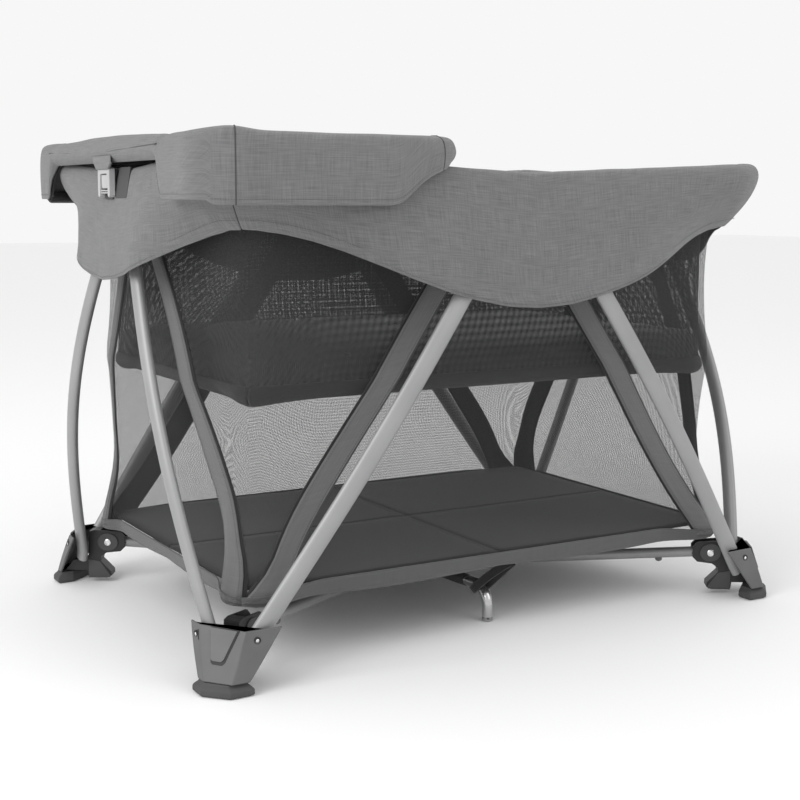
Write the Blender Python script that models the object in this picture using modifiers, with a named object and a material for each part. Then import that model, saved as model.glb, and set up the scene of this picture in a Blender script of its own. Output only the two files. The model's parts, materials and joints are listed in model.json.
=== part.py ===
"""Folding travel play yard with a full-size bassinet and a lift-off changing tray.

Origin: centre of the play yard on the floor. +X runs along the long side away from the changing
tray, +Y towards the back long side, +Z up. All sizes are in metres.

The frame is four corner feet, four floor arms that meet in a centre hub, two bent stands under
the hub, an A-frame of two oval legs on each of the four sides, and eight half rails that hinge
on a joint at the middle of each side.
"""
import math

import bmesh
import bpy
from mathutils import Vector

# ---------------------------------------------------------------- driving dimensions
FOOT_X, FOOT_Y = 0.500, 0.332          # middle of each foot on the floor
FOOT_PAD_H = 0.0195
CASING_Z = (0.020, 0.092)              # bottom and top of a foot's outer shell
CASING_WALL = 0.0035
BRACKET_T = 0.0265                     # black bracket inside the foot
ARM_SLOT = 0.0195                      # slot for the floor arm in it: width, reach and height
ARM_SLOT_OUT, ARM_SLOT_Z = (-0.0405, -0.120), (0.0605, 0.120)

ARM_R = 0.0092
ARM_FOOT_INSET, ARM_FOOT_Z = 0.055, 0.075   # arm pivot, inwards from the foot's middle
ARM_HUB_R, ARM_HUB_Z = 0.055, 0.048         # arm pivot on the centre hub
ARM_OVERHANG = 0.010                        # tube past each of its pivots

HUB_R, HUB_CORE_R = 0.072, 0.036
HUB_Z = (0.028, 0.066)
HUB_CAP_Z = (0.0663, 0.0768)
HUB_CAP_R = (0.062, 0.054)                  # at its foot and at its top
HUB_ROOF_Z = 0.0625                         # top of the hub's slots, clear of the turning tube ends
HUB_SLOT_OUT, ARM_HUB_SLOT = 0.100, 0.0215
STAND_SLOT_IN, STAND_SLOT = 0.034, 0.022
HANDLE_HALF, HANDLE_Z, HANDLE_RISE, HANDLE_R = 0.034, 0.0815, 0.012, 0.0035

STAND_R = 0.009
STAND_PIVOT_Y, STAND_X = 0.050, 0.010
STAND_REACH, STAND_Z = 0.251, 0.056         # where it bends down, and its height there
STAND_BEND = 0.032
STAND_SHOULDER_Z = 0.0545                   # its height just before the bend

LEG_WIDE, LEG_THIN = 0.030, 0.018           # oval leg tube
LEG_Z = (0.060, 0.680)                      # its lower and upper pivots
LEG_OVERHANG = 0.012
LONG_LEG_Y, LONG_LEG_X = (0.352, 0.3725), (0.470, 0.045)     # at the foot and at the rim
SHORT_LEG_X, SHORT_LEG_Y = (0.504, 0.5190), (0.306, 0.030)
LONG_LEG_BOW, SHORT_LEG_BOW = 0.0235, 0.032  # outwards, half way up
SHORT_LEG_ARCH = 0.032                         # towards the corner, half way up

RAIL_R = 0.011
RAIL_Y, RAIL_X = 0.350, 0.497
RAIL_Z = (0.712, 0.732)                     # at the middle of a side and at a corner
RAIL_CORNER = 0.075
RAIL_CORNER_TURN = 60                          # degrees of the corner that a long rail carries
LONG_RAIL_HINGE, SHORT_RAIL_HINGE = 0.085, 0.075
JOINT_Z = (0.655, 0.7262)                   # rail joint housings
JOINT_BACK_Y, JOINT_BACK_X = (0.3285, 0.3385), (0.4755, 0.4855)   # their back plates
JOINT_WEB, JOINT_WEB_PAST, JOINT_PAST_HINGE = 0.010, 0.006, 0.018

COVER_T = 0.0025                            # rim cover cloth
WALL_T = 0.002                              # mesh wall
WALL_X, WALL_Y, WALL_Z = 0.458, 0.303, (0.1310, 0.690)
FLOOR_X, FLOOR_Y, FLOOR_Z = 0.455, 0.300, (0.104, 0.130)
BASSINET_X, BASSINET_Y, BASSINET_Z = 0.445, 0.290, (0.400, 0.700)
BASSINET_T, BASSINET_CORNER, BASSINET_SKIRT = 0.004, 0.050, 0.050
MATTRESS_T, MATTRESS_INSET = 0.056, 0.009   # bassinet mattress, and how far inside the shell it ends

TRAY_X, TRAY_Y = (-0.535, -0.140), 0.385    # changing tray's frame tube
TRAY_Z, TRAY_R, TRAY_CORNER = 0.770, 0.008, 0.060
SKIRT_Z, SKIRT_END_X = 0.690, -0.245        # the tray cover's long flaps
END_SKIRT_Z, PLAIN_SKIRT_Z, SKIRT_SLOPE = 0.748, 0.762, 0.060
CHANGER_PAD_X, CHANGER_PAD_Y, CHANGER_PAD_Z = (-0.462, -0.186), 0.316, (0.736, 0.762)
CLIP_LOW, CLIP_HIGH = (-0.5492, -0.0130, 0.7000), (-0.5400, 0.0130, 0.7425)
CLIP_WINDOW_LOW, CLIP_WINDOW_HIGH = (-0.560, -0.007, 0.707), (-0.530, 0.007, 0.722)

GAP = 0.0003
CORNERS = {
    "front_left": (-1, -1),
    "front_right": (1, -1),
    "back_left": (-1, 1),
    "back_right": (1, 1),
}
DIAGONAL = Vector((FOOT_X, FOOT_Y)).normalized()


# ---------------------------------------------------------------- materials and scene
def clear_scene():
    for obj in list(bpy.data.objects):
        bpy.data.objects.remove(obj, do_unlink=True)


def material(name, color, roughness, metallic=0.0):
    mat = bpy.data.materials.new(name)
    mat.use_nodes = True
    shader = mat.node_tree.nodes["Principled BSDF"]
    shader.inputs["Base Color"].default_value = (*color, 1.0)
    shader.inputs["Roughness"].default_value = roughness
    shader.inputs["Metallic"].default_value = metallic
    mat.diffuse_color = (*color, 1.0)
    return mat


clear_scene()
PARTS = bpy.data.collections.new("play_yard")
CUTTERS = bpy.data.collections.new("cutters")
bpy.context.scene.collection.children.link(PARTS)
bpy.context.scene.collection.children.link(CUTTERS)

TUBE = material("tube", (0.40, 0.40, 0.40), 0.38, 0.6)
SHELL = material("foot_shell", (0.13, 0.13, 0.13), 0.55)
PAD = material("foot_rubber", (0.06, 0.06, 0.06), 0.8)
BLACK = material("black_plastic", (0.015, 0.015, 0.015), 0.5)
CLOTH = material("heather_cloth", (0.17, 0.17, 0.17), 0.9)
NET = material("mesh_net", (0.05, 0.05, 0.052), 0.9)
DARK = material("charcoal_cloth", (0.055, 0.055, 0.058), 0.9)
LIGHT = material("light_plastic", (0.5, 0.5, 0.5), 0.45)


# ---------------------------------------------------------------- building helpers
def link(obj, mat, collection=PARTS):
    obj.data.materials.append(mat)
    collection.objects.link(obj)
    return obj


def mesh_object(name, bm, mat, collection=PARTS):
    bmesh.ops.recalc_face_normals(bm, faces=bm.faces)
    mesh = bpy.data.meshes.new(name)
    bm.to_mesh(mesh)
    bm.free()
    return link(bpy.data.objects.new(name, mesh), mat, collection)


def smooth(obj, angle=40):
    obj.data.shade_smooth()
    obj.data.set_sharp_from_angle(angle=math.radians(angle))


def bevel(obj, width, segments=2, angle=30):
    mod = obj.modifiers.new("bevel", "BEVEL")
    mod.width = width
    mod.segments = segments
    mod.limit_method = "ANGLE"
    mod.angle_limit = math.radians(angle)
    return mod


def solidify(obj, thickness):
    mod = obj.modifiers.new("solidify", "SOLIDIFY")
    mod.thickness = thickness
    mod.offset = 0.0
    return mod


def cut(obj, cutter):
    mod = obj.modifiers.new("cut", "BOOLEAN")
    mod.operation = "DIFFERENCE"
    mod.object = cutter
    cutter.hide_render = True
    cutter.display_type = "WIRE"


def box(name, low, high, mat, collection=PARTS):
    bm = bmesh.new()
    bmesh.ops.create_cube(bm, size=1.0)
    middle = [(a + b) / 2 for a, b in zip(low, high)]
    size = [b - a for a, b in zip(low, high)]
    bmesh.ops.scale(bm, vec=size, verts=bm.verts)
    bmesh.ops.translate(bm, vec=middle, verts=bm.verts)
    return mesh_object(name, bm, mat, collection)


def prism(name, outline, depth, place, mat, collection=PARTS):
    """A closed outline of (x, y) points, thickened by depth, with place(x, y, d) -> world."""
    bm = bmesh.new()
    near = [bm.verts.new(place(x, y, -depth / 2)) for x, y in outline]
    far = [bm.verts.new(place(x, y, depth / 2)) for x, y in outline]
    bm.faces.new(near)
    bm.faces.new(far)
    count = len(outline)
    for i in range(count):
        j = (i + 1) % count
        bm.faces.new((near[i], near[j], far[j], far[i]))
    return mesh_object(name, bm, mat, collection)


def loft(name, columns, thickness, mat, closed=False):
    """A cloth skin through columns of points, thickened equally to both sides."""
    bm = bmesh.new()
    rows = [[bm.verts.new(p) for p in column] for column in columns]
    spans = len(rows) if closed else len(rows) - 1
    for i in range(spans):
        here, there = rows[i], rows[(i + 1) % len(rows)]
        for j in range(len(here) - 1):
            bm.faces.new((here[j], there[j], there[j + 1], here[j + 1]))
    obj = mesh_object(name, bm, mat)
    solidify(obj, thickness)
    return obj


def tube(name, points, radius, mat, scale=(1, 1, 1), sides=3, closed=False):
    """A tube along points. A scale below 1 on one axis makes its section oval."""
    curve = bpy.data.curves.new(name, "CURVE")
    curve.dimensions = "3D"
    curve.bevel_depth = radius
    curve.bevel_resolution = sides
    curve.use_fill_caps = True
    spline = curve.splines.new("POLY")
    spline.points.add(len(points) - 1)
    for slot, point in zip(spline.points, points):
        slot.co = (*[p / s for p, s in zip(point, scale)], 1.0)
    spline.use_cyclic_u = closed
    obj = link(bpy.data.objects.new(name, curve), mat)
    obj.scale = scale
    return obj


def rounded_rectangle(x0, x1, y, radius, steps):
    """Points round a rectangle from x0 to x1 and from -y to y, starting at its front left."""
    points = []
    for cx, cy, start in (
        (x0 + radius, -y + radius, 180),
        (x1 - radius, -y + radius, 270),
        (x1 - radius, y - radius, 0),
        (x0 + radius, y - radius, 90),
    ):
        for step in range(steps + 1):
            a = math.radians(start + 90 * step / steps)
            points.append((cx + radius * math.cos(a), cy + radius * math.sin(a)))
    return points


def slab(name, x_range, half_y, radius, z_range, mat, edge):
    """A flat pad with rounded corners and edges."""
    outline = rounded_rectangle(*x_range, half_y, radius, 5)
    middle = sum(z_range) / 2
    obj = prism(name, outline, z_range[1] - z_range[0], lambda x, y, d: Vector((x, y, middle + d)), mat)
    bevel(obj, edge, 3)
    smooth(obj)
    return obj


def ease(a, b, t):
    t = min(max(t, 0.0), 1.0)
    return a + (b - a) * t * t * (3 - 2 * t)


# ---------------------------------------------------------------- feet
def foot_point(sx, sy, inward_x, inward_y, z):
    return Vector((sx * (FOOT_X - inward_x), sy * (FOOT_Y - inward_y), z))


def diagonal_point(sx, sy, out, side, z):
    """A point by its distance outwards along the foot's diagonal and to the side of it."""
    along_x, along_y = DIAGONAL
    x = FOOT_X + out * along_x - side * along_y
    y = FOOT_Y + out * along_y + side * along_x
    return Vector((sx * x, sy * y, z))


SHELL_TOP = [(-0.028, 0.044), (-0.026, 0.024), (0.016, -0.040), (0.056, -0.042)]
SHELL_FOOT = [(-0.038, 0.004), (-0.038, -0.013), (-0.010, -0.049), (0.018, -0.049)]
PAD_OUTLINE = [
    (-0.046, 0.010), (-0.046, -0.020), (-0.014, -0.054),
    (0.024, -0.053), (0.024, -0.024), (-0.018, 0.010),
]
BRACKET_OUTLINE = [
    (0.024, 0.0215), (0.010, 0.040), (-0.018, 0.044), (-0.020, 0.094), (-0.030, 0.097),
    (-0.078, 0.094), (-0.086, 0.086), (-0.086, 0.066), (-0.078, 0.058), (-0.052, 0.055),
    (-0.042, 0.048), (-0.040, 0.040), (-0.060, 0.020), (-0.060, 0.012), (-0.052, 0.008),
    (-0.018, 0.008), (-0.016, 0.0215),
]


def make_foot(name, sx, sy):
    columns = []
    for top, low in zip(SHELL_TOP, SHELL_FOOT):
        columns.append([
            foot_point(sx, sy, low[0] + (top[0] - low[0]) * t, low[1] + (top[1] - low[1]) * t,
                       CASING_Z[0] + (CASING_Z[1] - CASING_Z[0]) * t)
            for t in (0, 0.5, 1)
        ])
    shell = loft("foot_shell_" + name, columns, CASING_WALL, SHELL)
    bevel(shell, 0.0012)

    pad = prism("foot_pad_" + name, PAD_OUTLINE, FOOT_PAD_H,
                lambda x, y, d: foot_point(sx, sy, x, y, FOOT_PAD_H / 2 + d), PAD)
    bevel(pad, 0.005)

    bracket = prism("foot_bracket_" + name, BRACKET_OUTLINE, BRACKET_T,
                    lambda s, z, d: diagonal_point(sx, sy, s, d, z), BLACK)
    (near, far), (low, high) = ARM_SLOT_OUT, ARM_SLOT_Z
    slot = prism("arm_slot_" + name, [(near, low), (far, low), (far, high), (near, high)],
                 ARM_SLOT, lambda s, z, d: diagonal_point(sx, sy, s, d, z), BLACK, CUTTERS)
    cut(bracket, slot)


# ---------------------------------------------------------------- floor arms, hub and stands
def make_arm(name, sx, sy):
    foot = diagonal_point(sx, sy, -ARM_FOOT_INSET, 0, ARM_FOOT_Z)
    hub = Vector((sx * ARM_HUB_R * DIAGONAL.x, sy * ARM_HUB_R * DIAGONAL.y, ARM_HUB_Z))
    along = (foot - hub).normalized()
    tube("floor_arm_" + name, [hub - along * ARM_OVERHANG, foot + along * ARM_OVERHANG], ARM_R, TUBE,
         sides=4)


def make_hub():
    bm = bmesh.new()
    middle, height = sum(HUB_Z) / 2, HUB_Z[1] - HUB_Z[0]
    bmesh.ops.create_cone(bm, cap_ends=True, segments=48, radius1=HUB_R, radius2=HUB_R, depth=height)
    bmesh.ops.translate(bm, vec=(0, 0, middle), verts=bm.verts)
    hub = mesh_object("centre_hub", bm, BLACK)
    slots = [math.atan2(sy * DIAGONAL.y, sx * DIAGONAL.x) for sx, sy in CORNERS.values()]
    for number, angle in enumerate(slots):
        side = Vector((-math.sin(angle), math.cos(angle)))
        out = Vector((math.cos(angle), math.sin(angle)))

        def place(s, z, d, out=out, side=side):
            return Vector((*(out * s + side * d), z))

        outline = [(HUB_CORE_R, 0.0), (HUB_SLOT_OUT, 0.0), (HUB_SLOT_OUT, HUB_ROOF_Z), (HUB_CORE_R, HUB_ROOF_Z)]
        cut(hub, prism(f"hub_slot_{number}", outline, ARM_HUB_SLOT, place, BLACK, CUTTERS))
    for number, sy in enumerate((-1, 1)):
        middle_x = -sy * STAND_X
        near, far = sorted((sy * STAND_SLOT_IN, sy * HUB_SLOT_OUT))
        cut(hub, box(f"stand_slot_{number}", (middle_x - STAND_SLOT / 2, near, 0.0),
                     (middle_x + STAND_SLOT / 2, far, HUB_ROOF_Z), BLACK, CUTTERS))
    smooth(hub)

    bm = bmesh.new()
    middle, height = sum(HUB_CAP_Z) / 2, HUB_CAP_Z[1] - HUB_CAP_Z[0]
    bmesh.ops.create_cone(bm, cap_ends=True, segments=48, radius1=HUB_CAP_R[0], radius2=HUB_CAP_R[1],
                          depth=height)
    bmesh.ops.translate(bm, vec=(0, 0, middle), verts=bm.verts)
    cap = mesh_object("hub_cap", bm, SHELL)
    bevel(cap, 0.002)
    smooth(cap)

    handle = []
    for step in range(13):
        a = math.pi * step / 12
        handle.append((HANDLE_HALF * math.cos(a), 0.0, HANDLE_Z + HANDLE_RISE * math.sin(a)))
    tube("fold_handle", handle, HANDLE_R, LIGHT, sides=2)


def make_stand(name, sy):
    sx = STAND_X if sy < 0 else -STAND_X
    points = [
        (sx, sy * (STAND_PIVOT_Y - ARM_OVERHANG), ARM_HUB_Z),
        (sx, sy * (STAND_REACH - 2 * STAND_BEND), STAND_SHOULDER_Z),
    ]
    for step in range(9):
        a = math.radians(90 * step / 8)
        y = STAND_REACH - STAND_BEND + STAND_BEND * math.sin(a)
        points.append((sx, sy * y, STAND_Z - STAND_BEND + STAND_BEND * math.cos(a)))
    points.append((sx, sy * STAND_REACH, 0.0))
    tube("stand_" + name, points, STAND_R, TUBE, sides=3)


# ---------------------------------------------------------------- legs and rails
LEG_STEPS = 12


def leg_points(low, high, bow, arch):
    """Points from low to high pivot, bowed outwards and arched sideways, with both overhangs."""
    along = (high - low).normalized()
    points = [low - along * LEG_OVERHANG]
    for step in range(LEG_STEPS + 1):
        t = step / LEG_STEPS
        points.append(low.lerp(high, t) + (bow + arch) * math.sin(math.pi * t))
    points.append(high + along * LEG_OVERHANG)
    return points


def make_legs():
    oval = LEG_THIN / LEG_WIDE
    for name, (sx, sy) in CORNERS.items():
        low = Vector((sx * LONG_LEG_X[0], sy * LONG_LEG_Y[0], LEG_Z[0]))
        high = Vector((sx * LONG_LEG_X[1], sy * LONG_LEG_Y[1], LEG_Z[1]))
        bow = Vector((0, sy * LONG_LEG_BOW, 0))
        tube("long_leg_" + name, leg_points(low, high, bow, Vector()), LEG_WIDE / 2, TUBE,
             scale=(1, oval, 1), sides=4)
        low = Vector((sx * SHORT_LEG_X[0], sy * SHORT_LEG_Y[0], LEG_Z[0]))
        high = Vector((sx * SHORT_LEG_X[1], sy * SHORT_LEG_Y[1], LEG_Z[1]))
        bow = Vector((sx * SHORT_LEG_BOW, 0, 0))
        arch = Vector((0, sy * SHORT_LEG_ARCH, 0))
        tube("short_leg_" + name, leg_points(low, high, bow, arch), LEG_WIDE / 2, TUBE,
             scale=(oval, 1, 1), sides=4)


def rail_height(share):
    return RAIL_Z[0] + (RAIL_Z[1] - RAIL_Z[0]) * share


def make_rails():
    for name, (sx, sy) in CORNERS.items():
        straight = RAIL_X - RAIL_CORNER
        points = [
            (sx * (LONG_RAIL_HINGE - 0.010), sy * RAIL_Y, rail_height(0)),
            (sx * straight, sy * RAIL_Y, rail_height(0.9)),
        ]
        for step in range(1, 7):
            a = math.radians(RAIL_CORNER_TURN * step / 6)
            points.append((
                sx * (straight + RAIL_CORNER * math.sin(a)),
                sy * (RAIL_Y - RAIL_CORNER + RAIL_CORNER * math.cos(a)),
                rail_height(0.9 + 0.1 * step / 6),
            ))
        tube("long_rail_" + name, points, RAIL_R, TUBE, sides=3)
        points = [
            (sx * RAIL_X, sy * (RAIL_Y - RAIL_CORNER - 0.004), rail_height(1)),
            (sx * RAIL_X, sy * (SHORT_RAIL_HINGE - 0.010), rail_height(0)),
        ]
        tube("short_rail_" + name, points, RAIL_R, TUBE, sides=3)


def make_rail_joints():
    """T-shaped housings: a back plate behind the two legs and a web between them."""
    height = JOINT_Z[1] - JOINT_Z[0]
    middle = sum(JOINT_Z) / 2

    def outline(half, back, web_out):
        right = [(half, back[0]), (half, back[1]), (JOINT_WEB, back[1]), (JOINT_WEB, web_out)]
        return right + [(-x, y) for x, y in reversed(right)]

    for name, sy in (("front", -1), ("back", 1)):
        shape = outline(LONG_RAIL_HINGE + JOINT_PAST_HINGE, JOINT_BACK_Y, LONG_LEG_Y[1] + JOINT_WEB_PAST)
        obj = prism("rail_joint_" + name, shape, height,
                    lambda x, y, d, s=sy: Vector((x, s * y, middle + d)), BLACK)
        bevel(obj, 0.0015)
    for name, sx in (("left", -1), ("right", 1)):
        shape = outline(SHORT_RAIL_HINGE + JOINT_PAST_HINGE, JOINT_BACK_X, SHORT_LEG_X[1] + JOINT_WEB_PAST)
        obj = prism("rail_joint_" + name, shape, height,
                    lambda y, x, d, s=sx: Vector((s * x, y, middle + d)), BLACK)
        bevel(obj, 0.0015)


# ---------------------------------------------------------------- cloth
RIM_TOP = (0.7355, 0.757)                  # rim cover's top at mid side and at a corner
HEM_BELLY = 0.0045                         # how much further the hem stands out at mid side
LONG_HEM = [(0.00, 0.536), (0.12, 0.552), (0.25, 0.600), (0.37, 0.655), (0.44, 0.695), (0.60, 0.722)]
SHORT_HEM = [(0.00, 0.570), (0.10, 0.580), (0.17, 0.608), (0.24, 0.655), (0.31, 0.695), (0.45, 0.722)]


def along_curve(points, x):
    x = abs(x)
    for (x0, y0), (x1, y1) in zip(points, points[1:]):
        if x <= x1:
            return y0 + (y1 - y0) * (x - x0) / (x1 - x0)
    return points[-1][1]


def rim_side(length_half, offset, arc_steps=5, straight_steps=12):
    """(position along the side, outward unit vector, arc length from mid side, corner share)."""
    straight = length_half - RAIL_CORNER
    stations = []
    for step in range(arc_steps, 0, -1):
        stations.append(("arc", -1, math.radians(45 * step / arc_steps)))
    for step in range(straight_steps + 1):
        stations.append(("line", 0, -straight + 2 * straight * step / straight_steps))
    for step in range(1, arc_steps + 1):
        stations.append(("arc", 1, math.radians(45 * step / arc_steps)))
    result = []
    for kind, side, value in stations:
        if kind == "line":
            centre, normal, arc = Vector((value, -offset)), Vector((0, -1)), abs(value)
            share = abs(value) / straight * 0.85
        else:
            normal = Vector((side * math.sin(value), -math.cos(value)))
            centre = Vector((side * straight, -offset + RAIL_CORNER)) + RAIL_CORNER * normal
            arc = straight + RAIL_CORNER * value
            share = 0.85 + 0.15 * value / math.radians(45)
        result.append((centre, normal, arc, share))
    return result


def make_rim_cover(name, length_half, offset, hem, outer, flare, turn):
    columns = []
    for centre, normal, arc, share in rim_side(length_half, offset):
        top = RIM_TOP[0] + (RIM_TOP[1] - RIM_TOP[0]) * share
        low = along_curve(hem, arc)
        reach = flare + HEM_BELLY * (1 - share)
        rows = [(-0.026, 0.692), (-0.026, top - 0.010), (-0.018, top), (outer - 0.012, top),
                (outer, top - 0.010)]
        rows += [(outer + (reach - outer) * t, top - 0.010 + (low - top + 0.010) * t)
                 for t in (0.34, 0.67, 1.0)]
        column = []
        for distance, z in rows:
            spot = centre + normal * distance
            column.append(turn(spot.x, spot.y, z))
        columns.append(column)
    loft("rim_cover_" + name, columns, COVER_T, CLOTH)


def make_cloth():
    shrink = 0.9985                        # keeps neighbouring covers apart at the corners
    long_side = (RAIL_X, RAIL_Y, LONG_HEM, 0.0325, 0.0440)
    short_side = (RAIL_Y, RAIL_X, SHORT_HEM, 0.0350, 0.0522)
    make_rim_cover("front", *long_side, lambda x, y, z: Vector((x * shrink, y, z)))
    make_rim_cover("back", *long_side, lambda x, y, z: Vector((-x * shrink, -y, z)))
    make_rim_cover("left", *short_side, lambda x, y, z: Vector((y, -x * shrink, z)))
    make_rim_cover("right", *short_side, lambda x, y, z: Vector((-y, x * shrink, z)))

    half_x, half_y = WALL_X - 0.004, WALL_Y - 0.0005
    for name, s in (("front", -1), ("back", 1)):
        box("mesh_wall_" + name, (-half_x, s * WALL_Y - WALL_T / 2, WALL_Z[0]),
            (half_x, s * WALL_Y + WALL_T / 2, WALL_Z[1]), NET)
    for name, s in (("left", -1), ("right", 1)):
        box("mesh_wall_" + name, (s * WALL_X - WALL_T / 2, -half_y, WALL_Z[0]),
            (s * WALL_X + WALL_T / 2, half_y, WALL_Z[1]), NET)

    slab("floor_mattress", (-FLOOR_X, FLOOR_X), FLOOR_Y, 0.03, FLOOR_Z, DARK, 0.006)

    columns = []
    levels = (BASSINET_Z[0], BASSINET_Z[0] + BASSINET_SKIRT, BASSINET_Z[1])
    for x, y in rounded_rectangle(-BASSINET_X, BASSINET_X, BASSINET_Y, BASSINET_CORNER, 6):
        columns.append([Vector((x, y, z)) for z in levels])
    bm = bmesh.new()
    rings = [[bm.verts.new(column[row]) for column in columns] for row in range(3)]
    bm.faces.new(rings[0])
    for low, high in zip(rings, rings[1:]):
        for i in range(len(low)):
            j = (i + 1) % len(low)
            bm.faces.new((low[i], low[j], high[j], high[i]))
    shell = mesh_object("bassinet_shell", bm, DARK)
    solidify(shell, BASSINET_T)

    low = BASSINET_Z[0] + BASSINET_T / 2 + GAP
    half_x, half_y = BASSINET_X - MATTRESS_INSET, BASSINET_Y - MATTRESS_INSET
    slab("bassinet_mattress", (-half_x, half_x), half_y, BASSINET_CORNER - 0.005,
         (low, low + MATTRESS_T), DARK, 0.010)


# ---------------------------------------------------------------- changing tray
def skirt_low(x, y):
    """How low the tray's cloth hangs, by place round its frame."""
    if x < TRAY_X[0] + 0.5 * TRAY_CORNER and abs(y) < TRAY_Y - 0.25 * TRAY_CORNER:
        return END_SKIRT_Z
    return ease(SKIRT_Z, PLAIN_SKIRT_Z, (x - SKIRT_END_X) / SKIRT_SLOPE)


def make_changing_tray():
    ring = rounded_rectangle(*TRAY_X, TRAY_Y, TRAY_CORNER, 5)
    tube("changer_frame", [(x, y, TRAY_Z) for x, y in ring], TRAY_R, TUBE, sides=2, closed=True)

    x0, x1 = TRAY_X
    middle = Vector(((x0 + x1) / 2, 0))
    outline = []
    stops = rounded_rectangle(x0, x1, TRAY_Y, TRAY_CORNER, 5)
    for i, here in enumerate(stops):
        there = stops[(i + 1) % len(stops)]
        count = 8 if (Vector(there) - Vector(here)).length > 0.1 else 1
        for k in range(count):
            outline.append(Vector(here).lerp(Vector(there), k / count))
    columns = []
    for spot in outline:
        inner = Vector((
            min(max(spot.x, x0 + TRAY_CORNER), x1 - TRAY_CORNER),
            min(max(spot.y, -TRAY_Y + TRAY_CORNER), TRAY_Y - TRAY_CORNER),
        ))
        out = (spot - inner).normalized() if (spot - inner).length > 1e-6 else (spot - middle).normalized()
        low = skirt_low(spot.x, spot.y)
        rows = [(0.0128, low), (0.0128, 0.776), (0.008, 0.7835), (-0.004, 0.7855), (-0.020, 0.784),
                (-0.032, 0.778), (-0.036, 0.768)]
        columns.append([Vector((*(spot + out * d), z)) for d, z in rows])
    loft("changer_cover", columns, COVER_T, CLOTH, closed=True)

    slab("changer_pad", CHANGER_PAD_X, CHANGER_PAD_Y, 0.035, CHANGER_PAD_Z, CLOTH, 0.010)

    clip = box("changer_clip", CLIP_LOW, CLIP_HIGH, LIGHT)
    cut(clip, box("clip_window", CLIP_WINDOW_LOW, CLIP_WINDOW_HIGH, LIGHT, CUTTERS))
    bevel(clip, 0.001)


for corner, (side_x, side_y) in CORNERS.items():
    make_foot(corner, side_x, side_y)
    make_arm(corner, side_x, side_y)
make_hub()
make_stand("front", -1)
make_stand("back", 1)
make_legs()
make_rails()
make_rail_joints()
make_cloth()
make_changing_tray()
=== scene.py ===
"""Looks of the folding travel play yard: cloth, nets, feet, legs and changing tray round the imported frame.

Units are metres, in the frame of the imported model: +X along the long sides away from the changing
tray, +Y towards the back, +Z up, the floor at z = 0.
"""
import json
import math

import bmesh
import bpy
import numpy as np
from mathutils import Matrix, Vector, noise

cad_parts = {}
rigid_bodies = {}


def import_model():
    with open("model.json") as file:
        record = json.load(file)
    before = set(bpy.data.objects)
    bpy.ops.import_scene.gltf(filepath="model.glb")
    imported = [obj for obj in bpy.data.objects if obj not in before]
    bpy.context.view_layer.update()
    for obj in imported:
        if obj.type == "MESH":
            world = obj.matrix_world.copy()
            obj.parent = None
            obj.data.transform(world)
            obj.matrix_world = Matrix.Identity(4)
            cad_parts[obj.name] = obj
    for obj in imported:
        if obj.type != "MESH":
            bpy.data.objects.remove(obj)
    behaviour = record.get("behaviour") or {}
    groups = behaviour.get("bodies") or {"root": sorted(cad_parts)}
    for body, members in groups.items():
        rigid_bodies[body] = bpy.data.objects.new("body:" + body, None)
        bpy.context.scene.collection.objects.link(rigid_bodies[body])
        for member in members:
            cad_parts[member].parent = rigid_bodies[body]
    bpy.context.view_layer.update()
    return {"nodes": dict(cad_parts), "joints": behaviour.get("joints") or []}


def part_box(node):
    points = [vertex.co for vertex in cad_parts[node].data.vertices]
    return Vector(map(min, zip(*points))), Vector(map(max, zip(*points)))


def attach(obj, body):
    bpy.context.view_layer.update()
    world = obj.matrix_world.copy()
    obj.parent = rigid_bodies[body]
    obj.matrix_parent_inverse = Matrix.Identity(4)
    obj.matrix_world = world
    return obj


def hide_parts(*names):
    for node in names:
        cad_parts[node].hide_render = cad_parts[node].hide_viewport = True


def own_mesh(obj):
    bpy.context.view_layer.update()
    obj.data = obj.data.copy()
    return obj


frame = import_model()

PIVOT = {j["name"]: Vector(j["pos_m"]) for j in frame["joints"] if "pos_m" in j}
CORNERS = {"front_left": (-1, -1), "front_right": (1, -1), "back_left": (-1, 1), "back_right": (1, 1)}
SIDES = {                                    # along the side, and outwards
    "front": (Vector((1, 0, 0)), Vector((0, -1, 0))),
    "right": (Vector((0, 1, 0)), Vector((1, 0, 0))),
    "back": (Vector((-1, 0, 0)), Vector((0, 1, 0))),
    "left": (Vector((0, -1, 0)), Vector((-1, 0, 0))),
}
LONG = ("front", "back")


# ------------------------------------------------------------------ camera, light and floor
CAMERA_AT = Vector((-1.2569, -2.1135, 0.6952))
CAMERA_YAW, CAMERA_PITCH, CAMERA_ROLL = -0.5316, -0.1427, -0.0042
CAMERA_LENS = 62.46
SKY_STRENGTH = 0.93
LIGHTS = (                                   # name, place, size, power
    ("key", (-3.4, -1.0, 2.4), 2.2, 70),
    ("fill", (1.5, -3.2, 2.6), 2.5, 22),
)
LIGHT_TARGET = Vector((0, 0, 0.4))
FLOOR_SIZE, FLOOR_DROP = 40, 0.0004


def make_camera():
    data = bpy.data.cameras.new("camera")
    data.lens = CAMERA_LENS
    data.sensor_width = 36.0
    camera = bpy.data.objects.new("camera", data)
    ahead = Vector((
        -math.sin(CAMERA_YAW) * math.cos(CAMERA_PITCH),
        math.cos(CAMERA_YAW) * math.cos(CAMERA_PITCH),
        math.sin(CAMERA_PITCH),
    ))
    level = Vector((math.cos(CAMERA_YAW), math.sin(CAMERA_YAW), 0))
    down = ahead.cross(level)
    right = level * math.cos(CAMERA_ROLL) + down * math.sin(CAMERA_ROLL)
    up = level * math.sin(CAMERA_ROLL) - down * math.cos(CAMERA_ROLL)
    camera.matrix_world = Matrix((right, up, -ahead)).transposed().to_4x4()
    camera.location = CAMERA_AT
    bpy.context.scene.collection.objects.link(camera)
    bpy.context.scene.camera = camera


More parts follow.
